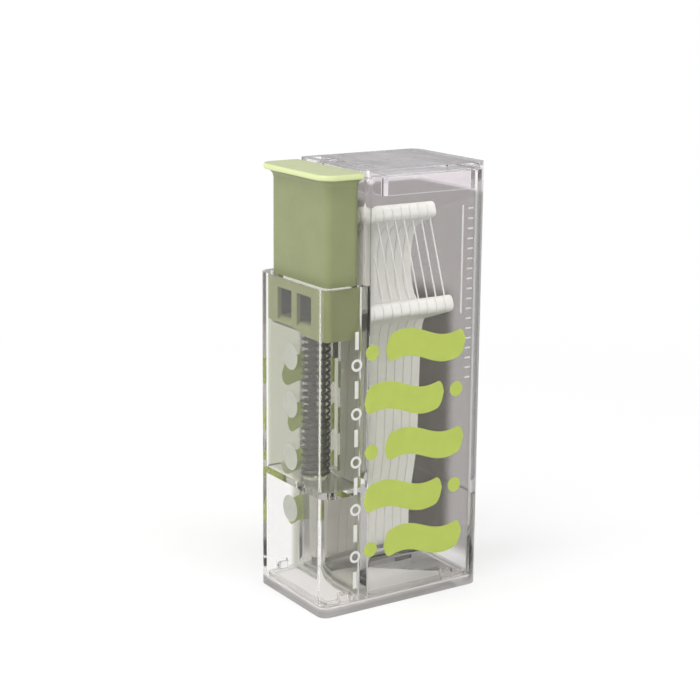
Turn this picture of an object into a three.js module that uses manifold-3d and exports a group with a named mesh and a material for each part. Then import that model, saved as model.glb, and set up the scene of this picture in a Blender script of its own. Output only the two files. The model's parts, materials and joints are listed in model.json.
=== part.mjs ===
// Push-button floss dispenser: a clear box whose tall chamber holds a row of floss picks and
// whose lower bay guides a green button on a coil spring.
// Millimetres. X runs along the wide front, Y runs from front to back, Z is up.
// The origin is on the ground at the middle of the box.

import * as THREE from "three";
import { mergeVertices } from "three/addons/utils/BufferGeometryUtils.js";
import Module from "manifold-3d";

const wasm = await Module();
wasm.setup();

// Box, shared by every moulding
const boxWidth = 36.8;
const boxDepth = 23.7;
const boxHeight = 85;
const wall = 1.4;
const outerRadius = 2;
const innerRadius = 1.2;
const edgeRadius = 0.8;
const leastRadius = 0.4;
const seam = 0.2;
const slideGap = 0.25;
const seatGap = 0.3;
const overrun = 1;

// Bay on the left that guides the button
const bayWidth = 9.3;
const pressTravel = 18.2;
const bayCornerRadius = 1.2;
const shelfTop = 24.6;
const shelfThickness = 1.4;
const slotWidth = 3.4;
const slotHeadroom = 0.5;
const slotFootRise = 0.8;

// Lid over the pick chamber
const lidThickness = 1.3;
const skirtDepth = 3.9;
const skirtThickness = 1;

// Base cover that pulls off for refilling
const baseThickness = 1.9;
const endWallTop = 19;
const rimHeight = 0.8;
const rimThickness = 0.8;
const hookWidth = 2;
const hookReach = 0.35;
const hookRise = 1.3;
const hookRecess = 0.6;
const chamberHookInset = 6;
const railTop = 4.6;
const railWidth = 3.6;
const railWall = 1;
const railEndGap = 1.2;

// Button: flange with a hollow cove under it, and hollow column
const flangeDrop = 0.4;
const flangeThickness = 1.1;
const flangeSoftness = 0.35;
const flangeRadius = 2.8;
const flangeGap = 0.4;
const coveRadius = 1.7;
const coveSteps = 4;
const columnLeftGap = 0.4;
const columnRightGap = 0.45;
const columnRadius = 1.2;
const columnWall = 1.3;
const columnRoof = 1.4;

// Slider block under the column
const blockDrop = 0.3;
const blockHeight = 9.8;
const blockWall = 1.3;
const blockRoof = 1.2;
const neckHeight = 4;
const neckWall = 1;
const windowWidth = 5.1;
const windowPost = 1.9;
const windowFoot = 2.6;
const windowHeight = 5.2;
const sillDrop = 1.3;
const notchRise = 0.95;
const notchRun = 4.4;
const notchEnd = 0.5;
const blockFloor = 1.7;
const keyWidth = 1.7;
const keyHeight = 9;
const keyHang = 5.8;
const keyReach = 0.65;

// Rod that hangs from the slider inside the spring and passes through the shelf
const rodGap = 0.25;
const rodFootGap = 0.6;
const rodFootHeight = 10.8;
const rodNeckRadius = 0.9;

// Lift pawl in the column's right wall
const pawlThickness = 0.9;
const pawlHeight = 8.7;
const noseHeight = 2;
const noseDrop = 2.6;
const noseReach = 0.1;

// Return spring
const springDiameter = 4.3;
const wireDiameter = 0.48;
const springPitch = 1.33;
const springShift = 0.4;
const springSteps = 8;
const wireSides = 5;

// Row of floss picks in the chamber
const pickCount = 10;
const pickGap = 0.06;
const spareWidth = 3.9;
const pickHeadroom = 3.1;
const threadSetback = 3.85;
const pickSideGap = 0.35;
const pickBackGap = 0.35;
const pickEdge = 0.09;

// Bow of a pick, seen from the side
const bowTilt = THREE.MathUtils.degToRad(19.9);
const threadSpan = 15.4;
const threadDiameter = 0.3;
const threadPocket = 1.2;
const pocketGap = 0.2;
const armHeight = 3.2;
const armOverhang = 1.2;
const armTipRadius = 1.3;
const crownRadius = 4;
const upperThroatShare = 0.51;
const throatShare = 0.68;
const throatFootShare = 0.57;
const lowerArmUnderShare = 0.56;

// Handle of a pick; its shares, like the bow's, are of the thread's distance from the pick's back
const handleWidthShare = 0.458;
const handleWaistShare = 0.44;
const handleFootShare = 0.16;
const tipWidthShare = 0.067;
const tipSetShare = 0.2;
const tipLength = 6;

// Colours, roughness and metalness of the finished surfaces
const clearPlastic = { color: 0xd9d6dc, roughness: 0.06, metalness: 0, transparent: true, opacity: 0.3 };
const greenPlastic = { color: 0xa3ad72, roughness: 0.42, metalness: 0 };
const springSteel = { color: 0x4c4b46, roughness: 0.32, metalness: 1 };
const whitePlastic = { color: 0xe9e8e2, roughness: 0.38, metalness: 0 };
const flossThread = { color: 0xf1f0ec, roughness: 0.6, metalness: 0 };

// Places that follow from the sizes above
const leftFace = -boxWidth / 2;
const rightFace = boxWidth / 2;
const frontFace = -boxDepth / 2;
const backFace = boxDepth / 2;
const innerFront = frontFace + wall;
const innerBack = backFace - wall;
const chamberWallLeft = leftFace + bayWidth;
const chamberLeft = chamberWallLeft + wall;
const chamberRight = rightFace - wall;
const caseBottom = baseThickness + seam;
const lidBottom = boxHeight - lidThickness;
const caseTop = lidBottom - seam;
const bayMiddle = (leftFace + wall + chamberWallLeft) / 2;
const springMiddle = bayMiddle + springShift;
const flangeTop = boxHeight - flangeDrop;
const flangeBottom = flangeTop - flangeThickness;
const bayHeight = flangeBottom - coveRadius - pressTravel;
const blockTop = bayHeight - blockDrop;
const blockBottom = blockTop - blockHeight;
const slotTop = blockTop + seatGap + pawlHeight + slotHeadroom;
const firstPickLeft = chamberLeft + pickSideGap;
const pickPitch = (chamberRight - spareWidth + pickGap - firstPickLeft) / pickCount;
const pickThickness = pickPitch - pickGap;
const pickBack = innerBack - pickBackGap;
const pickFoot = railTop + seatGap;
const pickTop = lidBottom - skirtDepth - pickHeadroom;
const threadReach = pickBack - innerFront - threadSetback;
const tipSet = tipSetShare * threadReach;
const quarter = Math.PI / 2;

const arcSteps = 6;
const roundSteps = 20;

// Solids and geometries

function toSolid(geometry) {
  geometry.deleteAttribute("normal");
  geometry.deleteAttribute("uv");
  const merged = mergeVertices(geometry);
  return new wasm.Manifold(new wasm.Mesh({
    numProp: 3,
    vertProperties: new Float32Array(merged.attributes.position.array),
    triVerts: new Uint32Array(merged.index.array),
  }));
}

function toGeometry(solid) {
  const mesh = solid.getMesh();
  const geometry = new THREE.BufferGeometry();
  geometry.setAttribute("position", new THREE.BufferAttribute(mesh.vertProperties, 3));
  geometry.setIndex(new THREE.BufferAttribute(mesh.triVerts, 1));
  geometry.computeVertexNormals();
  return geometry;
}

// A rounded rectangle in plan; its radii run front left, front right, back right, back left.
function area(left, right, front, back, radii) {
  return { left, right, front, back, radii };
}

function shrink(plan, by) {
  const radii = plan.radii.map((radius) => Math.max(radius - by, Math.min(radius, leastRadius)));
  return area(plan.left + by, plan.right - by, plan.front + by, plan.back - by, radii);
}

function planShape(plan) {
  const { left, right, front, back } = plan;
  const [frontLeft, frontRight, backRight, backLeft] = plan.radii;
  const shape = new THREE.Shape();
  const corner = (x, y, radius, start) => {
    if (radius > 0) shape.absarc(x, y, radius, start, start + quarter, false);
    else shape.lineTo(x, y);
  };
  shape.moveTo(left + frontLeft, front);
  corner(right - frontRight, front + frontRight, frontRight, -quarter);
  corner(right - backRight, back - backRight, backRight, 0);
  corner(left + backLeft, back - backLeft, backLeft, quarter);
  corner(left + frontLeft, front + frontLeft, frontLeft, 2 * quarter);
  return shape;
}

function prism(plan, bottom, top) {
  const options = { depth: top - bottom, bevelEnabled: false, curveSegments: arcSteps };
  return toSolid(new THREE.ExtrudeGeometry(planShape(plan), options).translate(0, 0, bottom));
}

function ring(plan, thickness, bottom, top) {
  return prism(plan, bottom, top).subtract(prism(shrink(plan, thickness), bottom - overrun, top + overrun));
}

function block(left, right, front, back, bottom, top) {
  return prism(area(left, right, front, back, [0, 0, 0, 0]), bottom, top);
}

function disc(x, y, radius, bottom, top) {
  const shape = new THREE.Shape().absarc(x, y, radius, 0, 4 * quarter, false);
  const options = { depth: top - bottom, bevelEnabled: false, curveSegments: roundSteps };
  return toSolid(new THREE.ExtrudeGeometry(shape, options).translate(0, 0, bottom));
}

// A solid through rounded rectangles at rising heights.
function loft(sections) {
  const rings = sections.map(({ plan, z }) => {
    const points = planShape(plan).getPoints(arcSteps);
    return points.slice(0, -1).map((point) => new THREE.Vector3(point.x, point.y, z));
  });
  const count = rings[0].length;
  const indices = [];
  for (let layer = 0; layer < rings.length - 1; layer += 1) {
    for (let index = 0; index < count; index += 1) {
      const low = layer * count;
      const next = (index + 1) % count;
      indices.push(low + index, low + next, low + count + next);
      indices.push(low + index, low + count + next, low + count + index);
    }
  }
  const last = (rings.length - 1) * count;
  for (let index = 1; index < count - 1; index += 1) {
    indices.push(0, index + 1, index, last, last + index, last + index + 1);
  }
  const geometry = new THREE.BufferGeometry().setFromPoints(rings.flat());
  geometry.setIndex(indices);
  return toSolid(geometry);
}

// A plate whose outer edges are rounded over, top and bottom.
function softPlate(plan, bottom, top, softness) {
  const options = {
    depth: top - bottom - 2 * softness,
    bevelThickness: softness,
    bevelSize: softness,
    bevelOffset: -softness,
    bevelSegments: 3,
    curveSegments: arcSteps,
  };
  return toSolid(new THREE.ExtrudeGeometry(planShape(plan), options).translate(0, 0, bottom + softness));
}

// An outline drawn in Y and Z, carried along X.
function sideExtrusion(shape, left, right, edge, curveSegments) {
  const options = {
    depth: right - left - 2 * edge,
    bevelEnabled: edge > 0,
    bevelThickness: edge,
    bevelSize: edge,
    bevelOffset: -edge,
    bevelSegments: 1,
    curveSegments,
  };
  const turn = new THREE.Matrix4().makeBasis(
    new THREE.Vector3(0, 1, 0),
    new THREE.Vector3(0, 0, 1),
    new THREE.Vector3(1, 0, 0),
  );
  const geometry = new THREE.ExtrudeGeometry(shape, options).applyMatrix4(turn);
  return toSolid(geometry.translate(left + edge, 0, 0));
}

function polygon(points) {
  return new THREE.Shape(points.map(([a, b]) => new THREE.Vector2(a, b)));
}

// Plans that several pieces share
const footprint = area(leftFace, rightFace, frontFace, backFace, Array(4).fill(outerRadius));
const hollowPlan = shrink(footprint, wall);
hollowPlan.radii = Array(4).fill(innerRadius);
const chamberPlan = area(chamberLeft, chamberRight, innerFront, innerBack,
  [edgeRadius, innerRadius, innerRadius, edgeRadius]);
const bayPlan = area(leftFace + wall, chamberWallLeft, innerFront, innerBack, Array(4).fill(bayCornerRadius));
const columnPlan = area(leftFace + wall + columnLeftGap, chamberWallLeft - columnRightGap,
  innerFront + columnLeftGap, innerBack - columnLeftGap, Array(4).fill(columnRadius));
const neckPlan = shrink(columnPlan, columnWall + slideGap);
const endWallLeft = rightFace - outerRadius;
const hookPlaces = [bayMiddle, chamberRight - chamberHookInset];

// Clear outer case: bay and chamber walls, the wall between them and the spring shelf

function makeCase() {
  const bayBody = prism(area(leftFace, chamberLeft, frontFace, backFace, [outerRadius, 0, 0, outerRadius]),
    caseBottom, bayHeight);
  const chamberBody = prism(area(chamberWallLeft, rightFace, frontFace, backFace,
    [edgeRadius, outerRadius, outerRadius, edgeRadius]), caseBottom, caseTop);
  let solid = bayBody.add(chamberBody)
    .subtract(prism(chamberPlan, caseBottom - overrun, caseTop + overrun))
    .subtract(prism(bayPlan, shelfTop, bayHeight + overrun))
    .subtract(prism(bayPlan, caseBottom - overrun, shelfTop - shelfThickness))
    .subtract(disc(springMiddle, 0, rodRadius() + slideGap, caseBottom, shelfTop + overrun));
  const liftSlot = block(chamberWallLeft - wall, chamberLeft + wall, -slotWidth / 2, slotWidth / 2,
    shelfTop + slotFootRise, slotTop);
  const endOpening = block(endWallLeft - seam, rightFace + overrun, frontFace - overrun, backFace + overrun,
    caseBottom - overrun, endWallTop + seam);
  solid = solid.subtract(liftSlot).subtract(endOpening);
  const recessHalf = hookWidth / 2 + slideGap;
  const recessTop = baseThickness + rimHeight + hookRise + slideGap;
  for (const x of hookPlaces) {
    solid = solid.subtract(block(x - recessHalf, x + recessHalf, innerFront - hookRecess, innerBack + hookRecess,
      caseBottom - overrun, recessTop));
  }
  return solid;
}

function rodRadius() {
  return springDiameter / 2 - wireDiameter - rodGap;
}

// Lid: plate with the slot that a pick rises through, and a skirt that plugs into the chamber

function makeLid() {
  const plate = prism(area(chamberWallLeft, rightFace, frontFace, backFace,
    [edgeRadius, outerRadius, outerRadius, edgeRadius]), lidBottom, boxHeight);
  const slotRight = firstPickLeft + pickThickness + slideGap;
  const slotFront = pickBack - pickDepth() - seatGap;
  const slot = block(chamberLeft + seam / 2, slotRight, slotFront, innerBack, lidBottom - overrun, boxHeight + overrun);
  const skirtPlan = shrink(area(slotRight + seatGap - slideGap, chamberRight, innerFront, innerBack,
    [innerRadius, innerRadius, innerRadius, innerRadius]), slideGap);
  const skirt = ring(skirtPlan, skirtThickness, lidBottom - skirtDepth, lidBottom + lidThickness / 2);
  return plate.add(skirt).subtract(slot);
}

// Base cover: floor, right end wall, locating rims with hooks and the rail that the picks stand on

function makeBaseCover() {
  const endZone = block(endWallLeft, rightFace + overrun, frontFace - overrun, backFace + overrun, 0, endWallTop);
  const endWall = prism(footprint, 0, endWallTop)
    .subtract(prism(hollowPlan, 0 - overrun, endWallTop + overrun))
    .intersect(endZone);
  let solid = prism(footprint, 0, baseThickness).add(endWall);
  const rimTop = baseThickness + rimHeight;
  for (const plan of [bayPlan, chamberPlan]) {
    solid = solid.add(ring(shrink(plan, slideGap), rimThickness, baseThickness / 2, rimTop));
  }
  for (const x of hookPlaces) {
    solid = solid.add(makeHook(x, innerFront + slideGap, -1)).add(makeHook(x, innerBack - slideGap, 1));
  }
  const railLeft = chamberLeft + railEndGap;
  const railRight = chamberRight - railEndGap;
  const railMiddle = pickBack - tipSet;
  const rail = block(railLeft, railRight, railMiddle - railWidth / 2, railMiddle + railWidth / 2,
    baseThickness / 2, railTop);
  const core = block(railLeft + railWall, railRight - railWall, railMiddle - railWidth / 2 + railWall,
    railMiddle + railWidth / 2 - railWall, -overrun, railTop - railWall);
  return solid.add(rail).subtract(core);
}

// A tongue on the rim with a small barb that sits in the case's recess; way is -1 at the front.
function makeHook(x, face, way) {
  const foot = baseThickness / 2;
  const top = baseThickness + rimHeight + hookRise;
  const barbFoot = baseThickness + rimHeight / 2;
  const reach = face + way * (slideGap + hookReach);
  const inside = face - way * rimThickness;
  const outline = way < 0
    ? [[inside, foot], [inside, top], [face, top], [reach, barbFoot + hookRise], [reach, barbFoot],
      [face, barbFoot], [face, foot]]
    : [[inside, foot], [face, foot], [face, barbFoot], [reach, barbFoot], [reach, barbFoot + hookRise],
      [face, top], [inside, top]];
  return sideExtrusion(polygon(outline), x - hookWidth / 2, x + hookWidth / 2, 0, 1);
}

// Press button: flange and hollow column, with an opening on the right for the pawl

function makeButton() {
  const flangePlan = area(leftFace, chamberWallLeft - flangeGap, frontFace, backFace,
    [flangeRadius, edgeRadius, edgeRadius, flangeRadius]);
  const flange = softPlate(flangePlan, flangeBottom, flangeTop, flangeSoftness);
  const column = prism(columnPlan, blockTop, flangeBottom + flangeThickness / 2)
    .subtract(prism(shrink(columnPlan, columnWall), blockTop - overrun, flangeBottom - columnRoof));
  const pawlOpening = block(columnPlan.right - columnWall - seatGap, columnPlan.right + overrun,
    -pawlHalfWidth() - seatGap, pawlHalfWidth() + seatGap, blockTop - overrun,
    blockTop + seatGap + pawlHeight + seatGap);
  return flange.add(makeCove(flangePlan)).add(column).subtract(pawlOpening);
}

// The curved neck between column and flange, hollow on the outside.
function makeCove(flangePlan) {
  const sections = [];
  for (let step = 0; step <= coveSteps; step += 1) {
    const angle = (step / coveSteps) * quarter;
    const out = coveRadius * (1 - Math.cos(angle));
    sections.push({ plan: shrink(columnPlan, -out), z: flangeBottom - coveRadius * (1 - Math.sin(angle)) });
  }
  sections.push({ plan: shrink(columnPlan, -coveRadius), z: flangeBottom + flangeThickness / 2 });
  return loft(sections)
    .intersect(prism(flangePlan, bayHeight, flangeTop))
    .subtract(prism(shrink(columnPlan, columnWall), blockTop, flangeBottom - columnRoof));
}

function pawlHalfWidth() {
  return slotWidth / 2 - seatGap;
}

// Slider block: hollow guided body with two windows, neck that plugs into the column, key that runs in
// the slot, and the rod inside the spring

function makeSlider() {
  const body = shrink(bayPlan, slideGap);
  const cavityTop = blockTop - blockRoof;
  const rodFoot = shelfTop + rodFootGap;
  let solid = prism(body, blockBottom, blockTop)
    .subtract(prism(shrink(body, blockWall), blockBottom + blockFloor, cavityTop));
  const windowBottom = blockBottom + windowFoot;
  for (const side of [-1, 1]) {
    const near = side * windowPost / 2;
    const far = side * (windowPost / 2 + windowWidth);
    const front = Math.min(near, far);
    const back = Math.max(near, far);
    solid = solid.subtract(block(body.left - overrun, body.left + blockWall + overrun, front, back,
      windowBottom, windowBottom + windowHeight)).subtract(makeSill(body.left, front, back, windowBottom));
  }
  const notch = sideExtrusion(polygon([
    [notchEnd - notchRun, blockBottom], [notchEnd, blockBottom + notchRise],
    [body.back + overrun, blockBottom + notchRise], [body.back + overrun, blockBottom - overrun],
    [notchEnd - notchRun, blockBottom - overrun],
  ]), body.left - overrun, body.left + blockWall, 0, 1);
  solid = solid.add(ring(neckPlan, neckWall, blockTop - blockRoof / 2, blockTop + neckHeight))
    .add(disc(springMiddle, 0, rodRadius(), rodFoot, rodFoot + rodFootHeight))
    .add(disc(springMiddle, 0, rodNeckRadius, rodFoot + rodFootHeight / 2, blockBottom + blockFloor / 2));
  const keyFoot = blockBottom - keyHang;
  const key = block(body.right - blockWall / 2, chamberWallLeft + keyReach, -keyWidth / 2, keyWidth / 2,
    keyFoot, keyFoot + keyHeight).subtract(block(body.right - blockWall, body.right, -keyWidth, keyWidth,
    keyFoot - overrun, blockBottom));
  return solid.subtract(notch).add(key);
}

// Wedge that slopes a window's sill down towards the outside.
function makeSill(outside, front, back, height) {
  const inside = outside + blockWall;
  const shape = polygon([[inside, height + overrun], [inside, height], [outside, height - sillDrop],
    [outside - overrun, height - sillDrop], [outside - overrun, height + overrun]]);
  const options = { depth: back - front, bevelEnabled: false };
  const turn = new THREE.Matrix4().makeBasis(
    new THREE.Vector3(1, 0, 0),
    new THREE.Vector3(0, 0, 1),
    new THREE.Vector3(0, -1, 0),
  );
  return toSolid(new THREE.ExtrudeGeometry(shape, options).applyMatrix4(turn).translate(0, back, 0));
}

// Lift pawl: a springy leaf standing on the slider, whose nose reaches into the slot in the chamber wall

function makePawl() {
  const leafRight = columnPlan.right - slideGap;
  const leafLeft = leafRight - pawlThickness;
  const foot = blockTop + seatGap;
  const top = foot + pawlHeight;
  const noseTop = top - noseDrop;
  const noseTip = chamberLeft + noseReach;
  const shape = polygon([[leafLeft, foot], [leafRight, foot], [leafRight, noseTop - 2 * noseHeight],
    [noseTip, noseTop - noseHeight], [noseTip, noseTop], [leafRight, noseTop], [leafRight, top], [leafLeft, top]]);
  const options = { depth: 2 * pawlHalfWidth(), bevelEnabled: false };
  const turn = new THREE.Matrix4().makeBasis(
    new THREE.Vector3(1, 0, 0),
    new THREE.Vector3(0, 0, 1),
    new THREE.Vector3(0, -1, 0),
  );
  const geometry = new THREE.ExtrudeGeometry(shape, options).applyMatrix4(turn);
  return toSolid(geometry.translate(0, pawlHalfWidth(), 0));
}

// Return spring: one wire, wound between two short straight ends that stand square to their seats

function springPath() {
  const foot = shelfTop + seatGap;
  const head = blockBottom - seatGap;
  const radius = (springDiameter - wireDiameter) / 2;
  const low = foot + wireDiameter;
  const high = head - wireDiameter;
  const turns = Math.round((high - low) / springPitch);
  const points = [];
  const add = (angle, z, tangent) => {
    const outward = new THREE.Vector3(Math.cos(angle), Math.sin(angle), 0);
    const place = outward.clone().multiplyScalar(radius).add(new THREE.Vector3(springMiddle, 0, z));
    points.push({ place, outward, tangent });
  };
  const up = new THREE.Vector3(0, 0, 1);
  add(0, foot, up);
  const steps = turns * springSteps;
  for (let step = 0; step <= steps; step += 1) {
    const angle = (step / springSteps) * 4 * quarter;
    const rise = (high - low) / (turns * 4 * quarter);
    const along = new THREE.Vector3(-Math.sin(angle) * radius, Math.cos(angle) * radius, rise).normalize();
    const atEnd = step === 0 || step === steps;
    add(angle, low + rise * angle, atEnd ? along.add(up).normalize() : along);
  }
  add(turns * 4 * quarter, head, up);
  return points;
}

function makeSpring() {
  const path = springPath();
  const positions = [];
  const indices = [];
  for (const { place, outward, tangent } of path) {
    const across = tangent.clone().cross(outward);
    for (let side = 0; side < wireSides; side += 1) {
      const angle = (side / wireSides) * 4 * quarter;
      const point = place.clone()
        .addScaledVector(outward, Math.cos(angle) * wireDiameter / 2)
        .addScaledVector(across, Math.sin(angle) * wireDiameter / 2);
      positions.push(point.x, point.y, point.z);
    }
  }
  for (let step = 0; step < path.length - 1; step += 1) {
    for (let side = 0; side < wireSides; side += 1) {
      const next = (side + 1) % wireSides;
      const a = step * wireSides + side;
      const b = step * wireSides + next;
      indices.push(a, b, b + wireSides, a, b + wireSides, a + wireSides);
    }
  }
  const last = (path.length - 1) * wireSides;
  for (let side = 1; side < wireSides - 1; side += 1) {
    indices.push(0, side + 1, side, last, last + side, last + side + 1);
  }
  const geometry = new THREE.BufferGeometry();
  geometry.setAttribute("position", new THREE.Float32BufferAttribute(positions, 3));
  geometry.setIndex(indices);
  geometry.computeVertexNormals();
  console.log("least gap between the spring's curls, mm:", springGap(path).toFixed(2));
  return geometry;
}

// Smallest distance between points of the wire that are half a curl or more apart, less the wire.
function springGap(path) {
  let least = Infinity;
  for (let one = 0; one < path.length; one += 1) {
    for (let other = one + springSteps / 2; other < path.length; other += 1) {
      least = Math.min(least, path[one].place.distanceTo(path[other].place));
    }
  }
  return least - wireDiameter;
}

// Floss pick, drawn in Y and Z. The bow leans forward, so its places are given along the thread
// and ahead of it, from the thread's lower end.

const along = new THREE.Vector2(Math.sin(bowTilt), Math.cos(bowTilt));
const ahead = new THREE.Vector2(-Math.cos(bowTilt), Math.sin(bowTilt));

function bowFoot() {
  const headTop = along.y * (threadSpan + armHeight) + ahead.y * armOverhang;
  return new THREE.Vector2(pickBack - threadReach, pickTop - headTop);
}

function pickDepth() {
  return threadReach - (ahead.x * armOverhang + along.x * -armHeight / 2);
}

function onBow(up, forward) {
  return bowFoot().addScaledVector(along, up).addScaledVector(ahead, forward);
}

function bowEdge(shape, up, forward) {
  const point = onBow(up, forward);
  shape.lineTo(point.x, point.y);
}

function bowCurve(shape, nearUp, nearForward, farUp, farForward, endUp, endForward) {
  const near = onBow(nearUp, nearForward);
  const far = onBow(farUp, farForward);
  const end = onBow(endUp, endForward);
  shape.bezierCurveTo(near.x, near.y, far.x, far.y, end.x, end.y);
}

// A round arm tip, run from the arm's first edge to its second.
function armTip(shape, fromUp, toUp) {
  const way = Math.sign(toUp - fromUp);
  const flat = armOverhang - armTipRadius;
  bowEdge(shape, fromUp, flat);
  const pull = armTipRadius / 2;
  bowCurve(shape, fromUp, armOverhang - pull / 2, fromUp + way * pull, armOverhang,
    fromUp + way * armTipRadius, armOverhang);
  bowEdge(shape, toUp - way * armTipRadius, armOverhang);
  bowCurve(shape, toUp - way * pull, armOverhang, toUp, armOverhang - pull / 2, toUp, flat);
}

function pickShape() {
  const top = threadSpan + armHeight;
  const crownEnd = onBow(top, 0);
  const crownForward = (pickBack - crownEnd.x) / ahead.x;
  const crown = onBow(top, crownForward);
  const upperThroat = upperThroatShare * threadReach;
  const throat = throatShare * threadReach;
  const throatFoot = throatFootShare * threadReach;
  const under = onBow(-armHeight, -lowerArmUnderShare * threadReach);
  const tipTop = pickFoot + tipLength;
  const tipWidth = tipWidthShare * threadReach;
  const front = pickBack - handleWidthShare * threadReach;
  const waistFront = pickBack - handleWaistShare * threadReach;
  const waistZ = (under.y + tipTop) / 2;
  const footBack = pickBack - tipSet + handleFootShare * threadReach / 2;
  const footFront = footBack - handleFootShare * threadReach;
  const shape = new THREE.Shape();
  shape.moveTo(pickBack, crown.y - crownRadius);
  shape.quadraticCurveTo(pickBack, crown.y, crown.x + ahead.x * crownRadius, crown.y + ahead.y * crownRadius);
  armTip(shape, top, threadSpan);
  bowEdge(shape, threadSpan, -upperThroat / 2);
  bowCurve(shape, threadSpan, -upperThroat, threadSpan / 2, -throat, threadSpan / 4, -throat);
  bowCurve(shape, 0, -throat, 0, -throatFoot, 0, -throatFoot / 2);
  armTip(shape, 0, -armHeight);
  shape.lineTo(under.x, under.y);
  shape.bezierCurveTo(front, under.y - armHeight / 2, front, under.y - 2 * armHeight, waistFront, waistZ);
  shape.bezierCurveTo(waistFront, (waistZ + tipTop) / 2, footFront, tipTop + tipLength, footFront, tipTop);
  shape.quadraticCurveTo(footFront, pickFoot, footFront + tipWidth / 2, pickFoot);
  shape.lineTo(footFront + 3 * tipWidth / 2, pickFoot);
  shape.quadraticCurveTo(footBack, pickFoot + tipWidth, footBack, tipTop);
  shape.bezierCurveTo(footBack, tipTop + 2 * tipLength, pickBack, waistZ - tipLength, pickBack, waistZ);
  shape.closePath();
  return shape;
}

function makePick() {
  const pick = sideExtrusion(pickShape(), -pickThickness / 2, pickThickness / 2, pickEdge, arcSteps);
  const pocket = (up, reach) => {
    const foot = onBow(up, 0);
    const geometry = new THREE.CylinderGeometry(threadDiameter / 2 + pocketGap, threadDiameter / 2 + pocketGap,
      reach, wireSides + 1);
    return toSolid(geometry.rotateX(quarter - bowTilt).translate(0, foot.x, foot.y));
  };
  return pick.subtract(pocket(0, 2 * threadPocket)).subtract(pocket(threadSpan, 2 * threadPocket));
}

function makeThread() {
  const length = threadSpan + 2 * (threadPocket - seatGap);
  return new THREE.CylinderGeometry(threadDiameter / 2, threadDiameter / 2, length, wireSides + 1);
}

// Assembly

const dispenser = new THREE.Group();

function addPiece(name, geometry, finish) {
  const piece = new THREE.Mesh(geometry, new THREE.MeshStandardMaterial(finish));
  piece.name = name;
  dispenser.add(piece);
  return piece;
}

addPiece("outer_case", toGeometry(makeCase()), clearPlastic);
addPiece("top_lid", toGeometry(makeLid()), clearPlastic);
addPiece("base_cover", toGeometry(makeBaseCover()), clearPlastic);
addPiece("press_button", toGeometry(makeButton()), greenPlastic);
addPiece("slider_block", toGeometry(makeSlider()), greenPlastic);
addPiece("lift_pawl", toGeometry(makePawl()), whitePlastic);
addPiece("return_spring", makeSpring(), springSteel);

const pickGeometry = toGeometry(makePick());
const threadGeometry = makeThread();
const threadMiddle = onBow(threadSpan / 2, 0);
for (let index = 0; index < pickCount; index += 1) {
  const number = String(index + 1).padStart(2, "0");
  const x = firstPickLeft + pickThickness / 2 + index * pickPitch;
  addPiece(`floss_pick_${number}`, pickGeometry, whitePlastic).position.x = x;
  const thread = addPiece(`floss_thread_${number}`, threadGeometry, flossThread);
  thread.position.set(x, threadMiddle.x, threadMiddle.y);
  thread.rotation.x = quarter - bowTilt;
}

export default dispenser;
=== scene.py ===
"""A clear floss pick dispenser with a green press button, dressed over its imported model.

Metres, in the model's own frame: X along the wide front, Y from front to back, Z up.
"""

import json
import math

import bmesh
import bpy
from mathutils import Matrix, Quaternion, Vector

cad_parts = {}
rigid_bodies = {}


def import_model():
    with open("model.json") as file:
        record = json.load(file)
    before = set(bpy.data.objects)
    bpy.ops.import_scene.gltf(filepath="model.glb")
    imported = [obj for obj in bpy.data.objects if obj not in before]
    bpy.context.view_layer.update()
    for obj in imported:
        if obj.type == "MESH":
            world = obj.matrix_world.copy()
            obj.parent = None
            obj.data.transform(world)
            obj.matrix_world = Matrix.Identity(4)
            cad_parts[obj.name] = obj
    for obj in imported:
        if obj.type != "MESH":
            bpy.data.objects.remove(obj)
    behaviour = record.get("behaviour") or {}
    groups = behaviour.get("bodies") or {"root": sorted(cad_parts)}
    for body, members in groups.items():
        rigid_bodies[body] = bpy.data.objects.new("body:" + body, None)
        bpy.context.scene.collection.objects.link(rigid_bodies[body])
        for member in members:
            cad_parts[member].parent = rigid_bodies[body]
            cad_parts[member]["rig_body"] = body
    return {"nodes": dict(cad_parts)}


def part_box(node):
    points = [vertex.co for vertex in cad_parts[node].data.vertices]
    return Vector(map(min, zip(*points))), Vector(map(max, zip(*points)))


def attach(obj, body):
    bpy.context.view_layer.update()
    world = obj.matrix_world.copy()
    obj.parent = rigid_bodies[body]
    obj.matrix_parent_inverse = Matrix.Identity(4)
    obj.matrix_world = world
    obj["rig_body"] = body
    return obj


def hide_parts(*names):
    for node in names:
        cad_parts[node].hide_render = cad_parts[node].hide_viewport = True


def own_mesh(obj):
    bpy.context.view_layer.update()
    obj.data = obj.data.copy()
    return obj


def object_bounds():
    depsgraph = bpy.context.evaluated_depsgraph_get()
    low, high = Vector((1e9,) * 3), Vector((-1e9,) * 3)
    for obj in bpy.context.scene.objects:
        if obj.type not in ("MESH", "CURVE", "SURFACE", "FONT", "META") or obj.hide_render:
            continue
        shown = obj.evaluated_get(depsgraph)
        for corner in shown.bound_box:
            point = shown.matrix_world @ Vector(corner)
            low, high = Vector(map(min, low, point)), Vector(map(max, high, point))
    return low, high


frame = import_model()
nodes = frame["nodes"]
cad_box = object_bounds()

MM = 0.001


def srgb(red, green, blue):
    """The linear colour of an 8-bit screen colour."""
    def linear(value):
        share = value / 255
        return share / 12.92 if share <= 0.04045 else ((share + 0.055) / 1.055) ** 2.4
    return (linear(red), linear(green), linear(blue), 1)


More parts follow.
